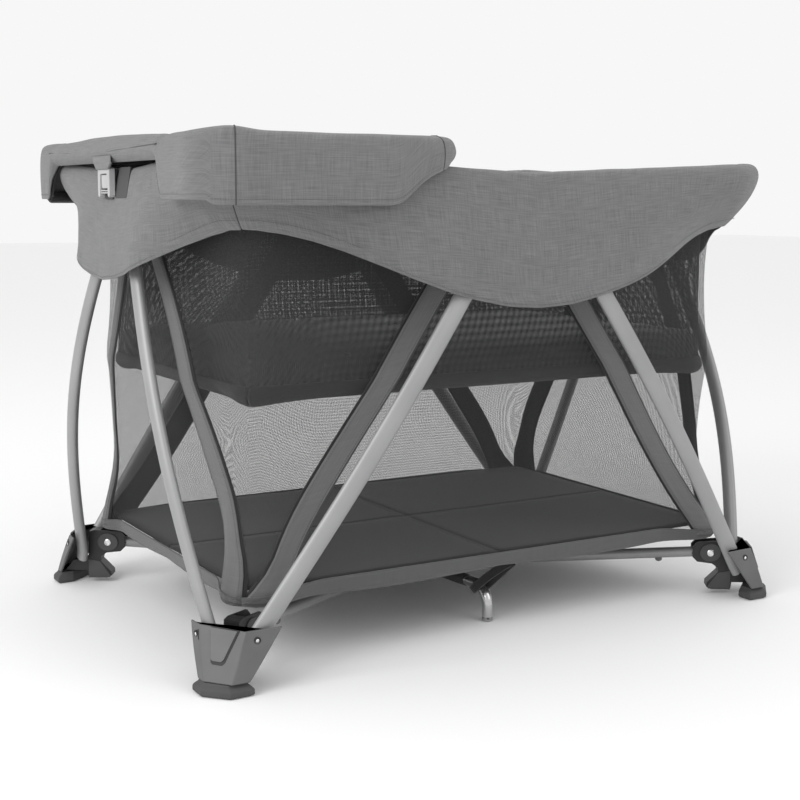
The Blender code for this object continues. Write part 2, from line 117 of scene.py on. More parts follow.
def make_light():
    world = bpy.data.worlds.new("studio")
    world.use_nodes = True
    world.node_tree.nodes["Background"].inputs["Color"].default_value = (1, 1, 1, 1)
    world.node_tree.nodes["Background"].inputs["Strength"].default_value = SKY_STRENGTH
    bpy.context.scene.world = world
    for name, at, size, power in LIGHTS:
        data = bpy.data.lights.new(name, "AREA")
        data.size = size
        data.energy = power
        light = bpy.data.objects.new(name, data)
        light.location = at
        light.rotation_euler = (LIGHT_TARGET - Vector(at)).to_track_quat("-Z", "Y").to_euler()
        bpy.context.scene.collection.objects.link(light)
    bpy.context.scene.view_settings.view_transform = "Standard"


def make_floor():
    bpy.ops.mesh.primitive_plane_add(size=FLOOR_SIZE, location=(0, 0, -FLOOR_DROP))
    floor = bpy.context.object
    floor.name = "studio_floor"
    floor.data.materials.append(new_material("studio_floor", (0.93, 0.93, 0.93), 0.9)[0])


# ------------------------------------------------------------------ materials
def new_material(name, color, roughness, metallic=0.0):
    mat = bpy.data.materials.new(name)
    mat.use_nodes = True
    shader = mat.node_tree.nodes["Principled BSDF"]
    shader.inputs["Base Color"].default_value = (*color, 1)
    shader.inputs["Roughness"].default_value = roughness
    shader.inputs["Metallic"].default_value = metallic
    mat.diffuse_color = (*color, 1)
    return mat, shader, mat.node_tree


class Graph:
    """Short names for the nodes that the materials share."""

    def __init__(self, tree, from_uv):
        self.tree = tree
        coords = self.node("ShaderNodeTexCoord")
        self.coords = coords.outputs["UV" if from_uv else "Object"]

    def node(self, kind, **settings):
        made = self.tree.nodes.new(kind)
        for key, value in settings.items():
            setattr(made, key, value)
        return made

    def link(self, source, target):
        self.tree.links.new(source, target)

    def noise(self, scale, detail=2.0, stretch=(1, 1, 1)):
        mapping = self.node("ShaderNodeMapping")
        mapping.inputs["Scale"].default_value = stretch
        self.link(self.coords, mapping.inputs["Vector"])
        texture = self.node("ShaderNodeTexNoise")
        texture.inputs["Scale"].default_value = scale
        texture.inputs["Detail"].default_value = detail
        self.link(mapping.outputs["Vector"], texture.inputs["Vector"])
        return texture.outputs["Fac"]

    def math(self, operation, a, b=None):
        made = self.node("ShaderNodeMath", operation=operation)
        for socket, value in zip(made.inputs, (a, b)):
            if value is None:
                continue
            if isinstance(value, (int, float)):
                socket.default_value = value
            else:
                self.link(value, socket)
        return made.outputs[0]

    def blend(self, factor, dark, light):
        made = self.node("ShaderNodeValToRGB")
        made.color_ramp.elements[0].position = 0.3
        made.color_ramp.elements[1].position = 0.7
        made.color_ramp.elements[0].color = (*dark, 1)
        made.color_ramp.elements[1].color = (*light, 1)
        self.link(factor, made.inputs["Fac"])
        return made.outputs["Color"]

    def bump(self, shader, height, strength, distance):
        made = self.node("ShaderNodeBump")
        made.inputs["Strength"].default_value = strength
        made.inputs["Distance"].default_value = distance
        self.link(height, made.inputs["Height"])
        self.link(made.outputs["Normal"], shader.inputs["Normal"])

    def vary_roughness(self, shader, factor, low, high):
        made = self.node("ShaderNodeMapRange")
        made.inputs["To Min"].default_value = low
        made.inputs["To Max"].default_value = high
        self.link(factor, made.inputs["Value"])
        self.link(made.outputs["Result"], shader.inputs["Roughness"])


def grey(value):
    return (value, value, value * 1.012)


def crossed_waves(graph, radians_per_metre):
    """A sine along the cloth times a sine across it: over and under, or the holes of a net."""
    apart = graph.node("ShaderNodeSeparateXYZ")
    graph.link(graph.coords, apart.inputs[0])
    waves = []
    for axis in (0, 1):
        angle = graph.math("MULTIPLY", apart.outputs[axis], radians_per_metre)
        waves.append(graph.math("SINE", angle))
    return graph.math("MULTIPLY", *waves)


def cloth_material(name, tone, contrast=0.3, pitch=0.0016, slub=1.0):
    """Melange weave: long weft streaks, shorter warp slubs, fine fibres and the weave's own relief."""
    mat, shader, tree = new_material(name, grey(tone), 0.92)
    graph = Graph(tree, from_uv=True)
    weft = graph.noise(1.0, 3, (24 * slub, 620 * slub, 24))
    warp = graph.noise(1.0, 3, (560 * slub, 26 * slub, 560))
    fibre = graph.noise(1900, 2)
    mottle = graph.noise(14, 2)
    total = graph.math("MULTIPLY", weft, 0.42)
    for part, share in ((warp, 0.34), (fibre, 0.16), (mottle, 0.08)):
        total = graph.math("ADD", total, graph.math("MULTIPLY", part, share))
    color = graph.blend(total, grey(tone * (1 - contrast)), grey(tone * (1 + contrast)))
    graph.link(color, shader.inputs["Base Color"])
    shader.inputs["Sheen Weight"].default_value = 0.25
    shader.inputs["Sheen Roughness"].default_value = 0.6
    shader.inputs["Specular IOR Level"].default_value = 0.2
    weave = crossed_waves(graph, 2 * math.pi / pitch)
    height = graph.math("ADD", weave, graph.math("MULTIPLY", fibre, 1.5))
    graph.bump(shader, height, 0.5, 0.0004)
    return mat


def net_material(name, tone, pitch, threshold):
    """Open tricot net: staggered round holes, larger where threshold is lower."""
    mat, shader, tree = new_material(name, grey(tone), 0.85)
    graph = Graph(tree, from_uv=True)
    holes = graph.math("ABSOLUTE", crossed_waves(graph, math.pi / pitch))
    graph.link(graph.math("LESS_THAN", holes, threshold), shader.inputs["Alpha"])
    thread = graph.noise(420, 2)
    graph.link(graph.blend(thread, grey(tone * 0.7), grey(tone * 1.4)), shader.inputs["Base Color"])
    shader.inputs["Specular IOR Level"].default_value = 0.25
    return mat


def plastic_material(name, tone, roughness, grain=1400, relief=0.25):
    """Moulded plastic: fine spark texture, faint flow clouds and rubbed, smoother patches."""
    mat, shader, tree = new_material(name, grey(tone), roughness)
    graph = Graph(tree, from_uv=False)
    spark, cloud = graph.noise(grain, 2), graph.noise(16, 3)
    graph.link(graph.blend(cloud, grey(tone * 0.88), grey(tone * 1.12)), shader.inputs["Base Color"])
    graph.vary_roughness(shader, cloud, roughness - 0.1, roughness + 0.1)
    graph.bump(shader, spark, relief, 0.00025)
    return mat


def metal_material(name, tone, roughness, metallic):
    """Satin powder coat: orange-peel relief and a little handling wear."""
    mat, shader, tree = new_material(name, grey(tone), roughness, metallic)
    graph = Graph(tree, from_uv=False)
    peel, cloud = graph.noise(900, 2), graph.noise(9, 3)
    graph.link(graph.blend(cloud, grey(tone * 0.93), grey(tone * 1.07)), shader.inputs["Base Color"])
    graph.vary_roughness(shader, cloud, roughness - 0.07, roughness + 0.07)
    graph.bump(shader, peel, 0.12, 0.0002)
    return mat


HEATHER = cloth_material("heather_canvas", 0.146, 0.46)
HEATHER_PAD = cloth_material("heather_padded", 0.152, 0.42)
BAND = cloth_material("band_webbing", 0.135, 0.18, pitch=0.002, slub=0.6)
LINING = cloth_material("charcoal_spacer", 0.037, 0.25, pitch=0.003, slub=0.5)
LIP = cloth_material("floor_lip", 0.082, 0.25, pitch=0.002)
MATTRESS = cloth_material("mattress_knit", 0.42, 0.2, pitch=0.003)
# Black binding cloth; the same black also serves as painted shadow in the strips behind the leg bands
BINDING_AND_SHADOW = cloth_material("black_binding", 0.014, 0.3, pitch=0.0015)
NET = net_material("charcoal_net", 0.040, 0.0014, 0.30)
NET_INNER = net_material("charcoal_net_inner", 0.050, 0.0016, 0.62)
TUBE = metal_material("satin_tube", 0.31, 0.48, 0.35)
POLISHED = metal_material("polished_tube", 0.50, 0.16, 0.95)
SHELL = plastic_material("foot_plastic", 0.105, 0.5)
SHELL_INSERT = plastic_material("foot_insert", 0.120, 0.55)
RUBBER = plastic_material("sole_rubber", 0.058, 0.75, 900, relief=0.4)
BLACK = plastic_material("black_plastic", 0.012, 0.45)
CHEEK = plastic_material("cheek_plastic", 0.05, 0.5)
LIGHT = plastic_material("light_plastic", 0.42, 0.4)
STEEL = metal_material("bright_steel", 0.72, 0.2, 1.0)
THREAD = plastic_material("sewing_thread", 0.05, 0.8)
THREAD_LIGHT = plastic_material("light_thread", 0.22, 0.8)


# ------------------------------------------------------------------ shape helpers
def finish_piece(obj, mat, body, replaces=()):
    """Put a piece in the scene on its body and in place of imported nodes."""
    obj.data.materials.append(mat)
    bpy.context.scene.collection.objects.link(obj)
    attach(obj, body)
    if replaces:
        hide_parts(*replaces)
    return obj


def add_modifiers(obj, thick, levels):
    if thick:
        solid = obj.modifiers.new("thickness", "SOLIDIFY")
        solid.thickness = thick
        solid.offset = 0
    if levels:
        finer = obj.modifiers.new("finer", "SUBSURF")
        finer.levels = finer.render_levels = levels


def surface(name, rows, mat, body, thick=0.0, closed=False, levels=0, replaces=()):
    """A cloth through rows of points, with its arc lengths in metres as UV."""
    if closed:
        rows = rows + [rows[0]]
    points = np.array([[tuple(p) for p in row] for row in rows])
    along = np.zeros(points.shape[:2])
    across = np.zeros(points.shape[:2])
    along[1:] = np.cumsum(np.linalg.norm(np.diff(points, axis=0), axis=2), axis=0)
    across[:, 1:] = np.cumsum(np.linalg.norm(np.diff(points, axis=1), axis=2), axis=1)
    bm = bmesh.new()
    verts = [[bm.verts.new(p) for p in row] for row in points]
    layer = bm.loops.layers.uv.new("cloth")
    for i in range(len(rows) - 1):
        for j in range(len(rows[0]) - 1):
            spots = ((i, j), (i + 1, j), (i + 1, j + 1), (i, j + 1))
            face = bm.faces.new([verts[a][b] for a, b in spots])
            face.smooth = True
            for loop, (a, b) in zip(face.loops, spots):
                loop[layer].uv = (along[a, b], across[a, b])
    bmesh.ops.remove_doubles(bm, verts=bm.verts, dist=1e-6)
    mesh = bpy.data.meshes.new(name)
    bm.to_mesh(mesh)
    bm.free()
    obj = bpy.data.objects.new(name, mesh)
    add_modifiers(obj, thick, levels)
    finish_piece(obj, mat, body, replaces)
    obj["flat"] = [float(along[-1].max()), float(across[:, -1].max())]
    obj["area"] = float(sum(p.area for p in mesh.polygons))
    return obj


def mesh_from(bm, name, sharp=None):
    """The mesh of a closed form, with edges kept sharp above an angle in degrees."""
    bmesh.ops.recalc_face_normals(bm, faces=bm.faces)
    mesh = bpy.data.meshes.new(name)
    bm.to_mesh(mesh)
    bm.free()
    if sharp:
        mesh.set_sharp_from_angle(angle=math.radians(sharp))
    return mesh


def bridge(bm, low, high):
    """Smooth faces between two rings with the same number of points."""
    for j in range(len(low)):
        k = (j + 1) % len(low)
        bm.faces.new((low[j], low[k], high[k], high[j])).smooth = True


def sweep(name, path, section, mat, body, side=(0, 0, 1), replaces=(), closed=False):
    """A section of (a, b) points drawn along a path, with its a axis turned towards side."""
    path = [Vector(p) for p in path]
    side = Vector(side)
    bm = bmesh.new()
    rings = []
    for i, here in enumerate(path):
        before = path[i - 1] if (i or closed) else here
        after = path[(i + 1) % len(path)] if (i + 1 < len(path) or closed) else here
        ahead = (after - before).normalized()
        a_axis = (side - ahead * side.dot(ahead)).normalized()
        b_axis = ahead.cross(a_axis)
        rings.append([bm.verts.new(here + a_axis * a + b_axis * b) for a, b in section])
    for i in range(len(rings) if closed else len(rings) - 1):
        bridge(bm, rings[i], rings[(i + 1) % len(rings)])
    if not closed:
        bm.faces.new(rings[0])
        bm.faces.new(rings[-1])
    mesh = mesh_from(bm, name, sharp=50)
    return finish_piece(bpy.data.objects.new(name, mesh), mat, body, replaces)


def circle(radius, steps=12):
    return [(radius * math.cos(2 * math.pi * k / steps), radius * math.sin(2 * math.pi * k / steps))
            for k in range(steps)]


def oval(wide, thin, steps=36, groove=None):
    """An oval section. A groove is (angle, depth): a fine line pressed in along the tube."""
    points = []
    for k in range(steps):
        a = 2 * math.pi * k / steps
        size = 1.0
        if groove and abs(a - groove[0]) < 1.2 * math.pi / steps:
            size = 1.0 - groove[1]
        points.append((wide / 2 * math.cos(a) * size, thin / 2 * math.sin(a) * size))
    return points


def turned(name, profile, at, axis, mat, body, steps=28):
    """A profile of (radius, height) points turned about an axis through at."""
    axis = Vector(axis).normalized()
    rotate = axis.to_track_quat("Z", "Y").to_matrix()
    bm = bmesh.new()
    rings = []
    for radius, height in profile:
        ring = []
        for k in range(steps):
            a = 2 * math.pi * k / steps
            ring.append(bm.verts.new(
                Vector(at) + rotate @ Vector((radius * math.cos(a), radius * math.sin(a), height))))
        rings.append(ring)
    for low, high in zip(rings, rings[1:]):
        bridge(bm, low, high)
    bm.faces.new(rings[0])
    bm.faces.new(rings[-1])
    return finish_piece(bpy.data.objects.new(name, mesh_from(bm, name, sharp=35)), mat, body)


def solid(name, rings, mat, body, width, slot, replaces=(), segments=3):
    """A closed solid through rings of points, from its lowest ring to its highest, with rounded edges."""
    bm = bmesh.new()
    made = [[bm.verts.new(p) for p in ring] for ring in rings]
    bm.faces.new(made[0]).smooth = True
    bm.faces.new(made[-1]).smooth = True
    for low, high in zip(made, made[1:]):
        bridge(bm, low, high)
    obj = bpy.data.objects.new(name, mesh_from(bm, name, sharp=35))
    rounded = obj.modifiers.new("rounded", "BEVEL")
    rounded.width = width
    rounded.segments = segments
    rounded.limit_method = "ANGLE"
    rounded.angle_limit = math.radians(25)
    return finish_piece(obj, mat, body, replaces)


STITCH_LONG, STITCH_RADIUS = 0.0028, 0.00045


def stitches(name, path, mat, body, pitch=0.0042):
    """A row of sewn stitches: slim spindles laid along a path."""
    bm = bmesh.new()
    left = pitch / 2
    for here, there in zip(path, path[1:]):
        step = (there - here).length
        if step < 1e-6:
            continue
        ahead = (there - here) / step
        side = ahead.orthogonal().normalized()
        up = ahead.cross(side)
        while left < step:
            middle = here + ahead * left
            ends = [bm.verts.new(middle + ahead * STITCH_LONG / 2 * s) for s in (-1, 1)]
            ring = [bm.verts.new(middle + (side * a + up * b) * STITCH_RADIUS)
                    for a, b in ((1, 0), (0, 1), (-1, 0), (0, -1))]
            for k in range(4):
                for end in ends:
                    bm.faces.new((ring[k], ring[(k + 1) % 4], end))
            left += pitch
        left -= step
    return finish_piece(bpy.data.objects.new(name, mesh_from(bm, name)), mat, body)


def spread(low, high, count):
    """Evenly spaced numbers from low to high, both included."""
    return [low + (high - low) * k / (count - 1) for k in range(count)]


def between(table, x):
    """Straight-line reading of a table of (x, y) points, level beyond its ends."""
    for (x0, y0), (x1, y1) in zip(table, table[1:]):
        if x <= x1:
            return y0 + (y1 - y0) * max(0.0, (x - x0) / (x1 - x0))
    return table[-1][1]


def ease(t):
    """0 to 1 with a soft start and end."""
    t = min(max(t, 0.0), 1.0)
    return t * t * (3 - 2 * t)


def ring_point(side, s, half_x, half_y, radius, out=0.0, z=0.0):
    """A point s metres along a side of a rounded rectangle, and out metres outside it."""
    along, outward = SIDES[side]
    half, offset = (half_x, half_y) if side in LONG else (half_y, half_x)
    straight = half - radius
    over = max(0.0, abs(s) - straight)
    angle = over / radius
    sign = math.copysign(1.0, s)
    start = sign * straight if over else s
    normal = outward * math.cos(angle) + along * (sign * math.sin(angle))
    spot = along * start + outward * (offset - radius) + normal * (radius + out)
    return Vector((spot.x, spot.y, z))


def side_half(side, half_x, half_y, radius):
    """Arc length from the middle of a side to the middle of its corner."""
    return (half_x if side in LONG else half_y) - radius + radius * math.pi / 4


def squash_side(obj):
    """Give a side's cloth a mesh of its own."""
    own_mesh(obj)


# ------------------------------------------------------------------ legs and the bands inside them
NET_X, NET_Y, NET_CORNER = 0.458, 0.303, 0.050      # the net body
NET_LOW, NET_HIGH, NET_WAIST = 0.118, 0.694, 0.425  # its hem, its top, and where the bassinet holds it out
END_BULGE = 0.040                                   # how far the legs hold the end nets out
LEG_WIDE, LEG_THIN = 0.030, 0.018
LONG_BOW, SHORT_BOW = 0.0235, 0.032                 # how far the legs bow outwards
LEG_RUN = 0.62                                      # height from a leg's lower pivot to its upper one
BAND_WIDE, BAND_TOP = 0.034, 0.640
STEPS = 28


def leg_ends(name, kind):
    """A leg's lower pivot, its upper pivot and its bow."""
    sx, sy = CORNERS[name]
    low = PIVOT[f"{kind}_leg_turn_{name}"]
    if kind == "long":
        top = PIVOT["joint_level_front" if sy < 0 else "joint_level_back"]
        return low, Vector((sx * abs(top.x), top.y, top.z)), Vector((0, sy * LONG_BOW, 0))
    top = PIVOT["joint_level_left" if sx < 0 else "joint_level_right"]
    return low, Vector((top.x, sy * abs(top.y), top.z)), Vector((sx * SHORT_BOW, sy * SHORT_BOW, 0))


def leg_point(name, kind, t):
    low, top, bow = leg_ends(name, kind)
    return low.lerp(top, t) + bow * math.sin(math.pi * min(max(t, 0), 1))


def make_legs():
    for name, (sx, sy) in CORNERS.items():
        for kind in ("long", "short"):
            node = f"{kind}_leg_{name}"
            path = [leg_point(name, kind, t) for t in spread(-0.02, 1.015, 48)]
            side = (1, 0, 0) if kind == "long" else (0, 1, 0)
            groove = (math.radians(32), 0.045)
            wide = LEG_WIDE if kind == "long" else LEG_WIDE * 0.92
            sweep(node + "_tube", path, oval(wide, LEG_THIN, 48, groove), TUBE, node, side=side,
                  replaces=[node])


def waist(side, s, z):
    """How far the tensioned net is drawn in at a place."""
    if z < NET_WAIST:
        depth = 0.016 * math.sin(math.pi * max(0.0, (z - NET_LOW) / (NET_WAIST - NET_LOW)))
    else:
        depth = 0.012 * math.sin(math.pi * min(1.0, (z - NET_WAIST) / (NET_HIGH - NET_WAIST)))
    share = abs(s) / side_half(side, NET_X, NET_Y, NET_CORNER)
    return depth * (0.45 + 0.55 * share * share)


def net_point(side, s, z, lift=0.0):
    """A point on the net body, which is drawn out and down to the feet at its lower corners."""
    share = abs(s) / side_half(side, NET_X, NET_Y, NET_CORNER)
    pull = ease((share - 0.72) / 0.28) * (1 - ease((z - NET_LOW) / 0.16))
    out = lift - waist(side, s, z) + 0.022 * pull
    if side not in LONG:
        out += END_BULGE * (1 - share * share) * ease((z - NET_LOW) / 0.20)
    spot = ring_point(side, s, NET_X, NET_Y, NET_CORNER, out, z)
    spot.z -= 0.010 * pull
    return spot


def make_nets():
    for side in SIDES:
        half = side_half(side, NET_X, NET_Y, NET_CORNER)
        rows = [[net_point(side, s, z) for z in spread(NET_LOW, NET_HIGH, 24)]
                for s in spread(-half, half, 41)]
        net = surface("net_wall_" + side, rows, NET, "rail_joint_" + side,
                      replaces=["mesh_wall_" + side])
        squash_side(net)


def band_centre(name, kind, z):
    """Which side a band lies on, and how far along it the band's middle is at height z."""
    sx, sy = CORNERS[name]
    side = ("front" if sy < 0 else "back") if kind == "long" else ("left" if sx < 0 else "right")
    along = SIDES[side][0]
    spot = leg_point(name, kind, (z - PIVOT[f"{kind}_leg_turn_{name}"].z) / LEG_RUN)
    s = spot.dot(along)
    lean = math.atan2(abs(leg_ends(name, kind)[0].dot(along)) - 0.04, LEG_RUN)
    half = BAND_WIDE / 2 / math.cos(lean)
    limit = side_half(side, NET_X, NET_Y, NET_CORNER) - half
    return side, math.copysign(min(abs(s), limit), s), half


def make_bands():
    for name in CORNERS:
        for kind in ("long", "short"):
            body = f"{kind}_leg_{name}"
            levels = spread(NET_LOW + 0.004, BAND_TOP, STEPS)
            edges = {1: [], -1: []}
            rows, under = [], []
            for z in levels:
                side, s, half = band_centre(name, kind, z)
                across = spread(-1, 1, 7)
                crown = [0.0035 + 0.0012 * (1 - a * a) for a in across]
                rows.append([net_point(side, s + half * a, z, lift) for a, lift in zip(across, crown)])
                # under: a black strip just behind each band, 4.8 mm wider on both sides; its showing edges
                # are painted shadow, the dark gap between the band and its leg tube
                under.append([net_point(side, s + (half + 0.0048) * a, z, 0.0015) for a in across])
                for sign in edges:
                    edges[sign].append(net_point(side, s + sign * (half - 0.004), z, 0.0052))
            band = surface("band_" + body, rows, BAND, body, thick=0.0012)
            back = surface("band_edge_" + body, under, BINDING_AND_SHADOW, body, thick=0.0012)
            seams = [stitches(f"band_stitch_{n}_{body}", edge, THREAD, body)
                     for n, edge in enumerate(edges.values())]


# ------------------------------------------------------------------ feet
SHELL_TOP = [(-0.028, 0.052), (-0.026, 0.024), (0.016, -0.040), (0.072, -0.042)]
SHELL_FOOT = [(-0.038, 0.004), (-0.038, -0.013), (-0.010, -0.049), (0.018, -0.049)]
SHELL_Z = (0.020, 0.092)
FOOT_X, FOOT_Y = 0.500, 0.332
SOLE = [(-0.046, 0.010), (-0.046, -0.020), (-0.014, -0.054), (0.024, -0.053), (0.024, -0.024),
        (-0.018, 0.010)]
SOLE_TIERS = [(0.0, 0.90), (0.0025, 1.0), (0.0105, 1.0), (0.0140, 0.90), (0.0165, 0.80), (0.0193, 0.76)]


def foot_point(sx, sy, inward, z):
    """A point given as distances inwards from a foot's middle."""
    return Vector((sx * (FOOT_X - inward[0]), sy * (FOOT_Y - inward[1]), z))


def shell_point(sx, sy, u, t, lift=0.0):
    """A point on the casing: u runs 0..3 over its three faces, t from the sole to the top."""
    face = min(int(u), 2)
    part = u - face

    def at(index):
        low, top = Vector(SHELL_FOOT[index]), Vector(SHELL_TOP[index])
        return low.lerp(top, t)

    spot = at(face).lerp(at(face + 1), part)
    way = at(face + 1) - at(face)
    outward = Vector((way.y, -way.x)).normalized()
    if outward.dot(Vector((-1, -1))) < 0:
        outward = -outward
    spot = spot + outward * lift
    return foot_point(sx, sy, spot, SHELL_Z[0] + (SHELL_Z[1] - SHELL_Z[0]) * t)


def plate(name, sx, sy, corners, low, high, mat, body, width, slot):
    """A flat plate on the casing, through (u, t) corners, from low to high above the surface."""
    rings = [[shell_point(sx, sy, u, t, lift) for u, t in corners] for lift in (low, high)]
    return solid(name, rings, mat, body, width=width, slot=slot)


def make_casing(name, sx, sy):
    body = "foot_" + name
    inner, outer = [], []
    for t in spread(0, 1, 7):
        swell = 0.0012 * math.sin(math.pi * t)
        outer.append([shell_point(sx, sy, u, t, 0.0018 + swell) for u in (0, 0.5, 1, 1.5, 2, 2.5, 3)])
        inner.append([shell_point(sx, sy, u, t, -0.0018) for u in (3, 2.5, 2, 1.5, 1, 0.5, 0)])
    rings = [o + i for o, i in zip(outer, inner)]
    solid("casing_" + name, rings, SHELL, body, width=0.0016, slot="foot_plastic",
          replaces=["foot_shell_" + name])
    # The black plate behind the insert shows as a thin dark crease at its sides and as painted shadow about 5
    # mm deep under its bottom edge
    crease_and_shadow = [(1.27, 0.37), (1.32, 0.335), (1.60, 0.335), (1.68, 0.39), (1.885, 1.0), (1.26, 1.0)]
    panel = [(1.28, 0.43), (1.34, 0.400), (1.58, 0.400), (1.65, 0.45), (1.860, 0.998), (1.265, 0.998)]
    plate("insert_gap_" + name, sx, sy, crease_and_shadow, 0.0012, 0.0033, BLACK, body, 0.0004, "black_plastic")
    plate("insert_" + name, sx, sy, panel, 0.0030, 0.0050, SHELL_INSERT, body, 0.0009, "foot_plastic")
    for number, (u, t) in enumerate(((2.42, 0.80), (0.55, 0.80))):
        at = shell_point(sx, sy, u, t, 0.0022)
        axis = (shell_point(sx, sy, u, t, 0.01) - at).normalized()
        turned(f"rivet_seat_{number}_{name}", [(0.0052, -0.001), (0.0052, 0.0010), (0.0044, 0.0014),
                                               (0.0040, 0.0004), (0.0005, 0.0004)], at, axis, BLACK, body)
        head = [(0.0026, 0.0), (0.0026, 0.0010), (0.0020, 0.0016), (0.0008, 0.0019)]
        turned(f"rivet_{number}_{name}", head, at, axis, STEEL, body, steps=16)
    slot_corners = [(0.80, 0.72), (0.90, 0.72), (0.90, 0.90), (0.80, 0.90)]
    plate("casing_slot_" + name, sx, sy, slot_corners, 0.0016, 0.0031, BLACK, body, 0.0003, "black_plastic")


def make_sole(name, sx, sy):
    middle = Vector((-0.012, -0.012))
    rings = []
    for z, size in SOLE_TIERS:
        ring = []
        for corner in SOLE:
            spot = middle + (Vector(corner) - middle) * size
            ring.append(foot_point(sx, sy, spot, z))
        rings.append(ring)
    solid("sole_" + name, rings, RUBBER, "foot_" + name, width=0.0022, slot="foot_rubber",
          replaces=["foot_pad_" + name], segments=4)


def diagonal(name):
    sx, sy = CORNERS[name]
    return Vector((sx * FOOT_X, sy * FOOT_Y, 0)).normalized()


def arm_ends(name):
    """A floor arm's pivots at the hub and at its foot."""
    foot = PIVOT["frame_fold" if name == "back_right" else f"foot_level_{name}"]
    hub = PIVOT["hub_level" if name == "back_right" else f"arm_turn_{name}"]
    return hub, foot


def make_yoke(name, sx, sy):
    """Cheeks, screws and the heel's edge on the black bracket that holds the floor arm."""
    body = "foot_" + name
    out = diagonal(name)
    across = Vector((-out.y, out.x, 0))
    pivot = arm_ends(name)[1]
    for number, sign in enumerate((-1, 1)):
        face = pivot + across * (sign * 0.0134)
        cheek = [face + out * (0.019 * math.cos(a)) + Vector((0, 0, 0.0165 * math.sin(a)))
                 for a in spread(0, 2 * math.pi * 15 / 16, 16)]
        rings = [[p + across * (sign * d) for p in cheek] for d in (-0.0005, 0.0022)]
        solid(f"cheek_{number}_{name}", rings, CHEEK, body, width=0.0007, slot="black_plastic")
        turned(f"yoke_screw_{number}_{name}",
               [(0.0062, 0.0), (0.0062, 0.0016), (0.0050, 0.0024), (0.0038, 0.0024), (0.0034, 0.0014),
                (0.0004, 0.0014)], face + across * (sign * 0.0022), across * sign, STEEL, body)
        heel = [(-0.0185, 0.0090), (-0.0575, 0.0090), (-0.0590, 0.0130), (-0.0405, 0.0385), (-0.0180, 0.0430)]
        foot = Vector((sx * FOOT_X, sy * FOOT_Y, 0))
        place = [foot + out * a + Vector((0, 0, z)) + across * (sign * 0.0133) for a, z in heel]
        rings = [[p + across * (sign * d) for p in place] for d in (-0.0005, 0.0014)]
        solid(f"heel_plate_{number}_{name}", rings, CHEEK, body, width=0.0008, slot="black_plastic")


def make_feet():
    for name, (sx, sy) in CORNERS.items():
        make_casing(name, sx, sy)
        make_sole(name, sx, sy)
        make_yoke(name, sx, sy)


# ------------------------------------------------------------------ floor arms, stands and floor
ARM_R = 0.0092
FLOOR_X, FLOOR_Y, FLOOR_TOP, FLOOR_LOW = 0.452, 0.297, 0.1285, 0.104
FLOOR_CORNER, LIP_TOP = 0.020, 0.131


def make_arms():
    for name in CORNERS:
        hub, foot = arm_ends(name)
        ahead = (foot - hub).normalized()
        body = "floor_arm_" + name
        sweep("arm_tube_" + name, [hub - ahead * 0.0095, hub.lerp(foot, 0.5), foot + ahead * 0.0095],
              circle(ARM_R, 28), TUBE, body, side=(0, 0, 1), replaces=[body])
        across = Vector((-ahead.y, ahead.x, 0)).normalized()
        hole = foot - ahead * 0.030
        for number, sign in enumerate((-1, 1)):
            turned(f"arm_hole_{number}_{name}", [(0.0019, -0.001), (0.0019, 0.0003), (0.0004, 0.0003)],
                   hole + across * (sign * ARM_R), across * sign, BLACK, body, steps=14)
        nub = foot - ahead * 0.090 - Vector((0, 0, ARM_R - 0.001))
        turned("arm_nub_" + name, [(0.0062, 0.0), (0.0062, 0.0035), (0.0048, 0.0060), (0.0020, 0.0072)],
               nub, (0, 0, -1), SHELL_INSERT, body)


def make_stands():
    for side, sy in (("front", -1), ("back", 1)):
        body = "stand_" + side
        pivot = PIVOT["stand_fold_" + side]
        low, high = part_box(body)
        reach = (low.y if sy < 0 else high.y) - sy * 0.009
        bend = 0.032
        path = [pivot - Vector((0, sy * 0.009, 0)), Vector((pivot.x, pivot.y + sy * 0.06, pivot.z + 0.003)),
                Vector((pivot.x, reach - sy * 2 * bend, 0.0545))]
        for a in spread(0, math.pi / 2, 16):
            path.append(Vector((pivot.x, reach - sy * bend * (1 - math.sin(a)), 0.024 + bend * math.cos(a))))
        path.append(Vector((pivot.x, reach, 0.0035)))
        sweep("stand_tube_" + side, path, circle(0.0090, 28), POLISHED, body, side=(1, 0, 0),
              replaces=[body])
        turned("stand_cap_" + side, [(0.0070, 0.0), (0.0090, 0.0012), (0.0090, 0.0075), (0.0088, 0.0080)],
               (pivot.x, reach, 0.0), (0, 0, 1), TUBE, body)
        sleeve = [path[1].lerp(path[2], t) for t in (0.05, 0.5, 1.0)]
        sweep("stand_sleeve_" + side, sleeve, circle(0.0104, 24), CHEEK, body, side=(1, 0, 0))
        make_loop(side, sy, pivot.x, reach, body)


def make_loop(side, sy, x, reach, body):
    """Black webbing that hangs from the floor's edge round the stand's bend."""
    top = [Vector((x + 0.012, sy * (FLOOR_Y - 0.004), FLOOR_LOW + 0.004)),
           Vector((x + 0.020, sy * (FLOOR_Y - 0.004), FLOOR_LOW + 0.004))]
    bend = Vector((x, reach - sy * 0.030, 0.046))
    for number, start in enumerate(top):
        rows = []
        for t in spread(0, 1, 14):
            spot = start.lerp(bend + Vector((0.0115 * (number * 2 - 1), 0, 0)), t)
            spot.x -= 0.006 * (1 - number) * math.sin(math.pi * t)
            rows.append([spot + Vector((0, dy, 0.4 * dy)) for dy in spread(-0.008, 0.008, 5)])
        strap = surface(f"stand_strap_{number}_{side}", rows, BINDING_AND_SHADOW, body, thick=0.0016)


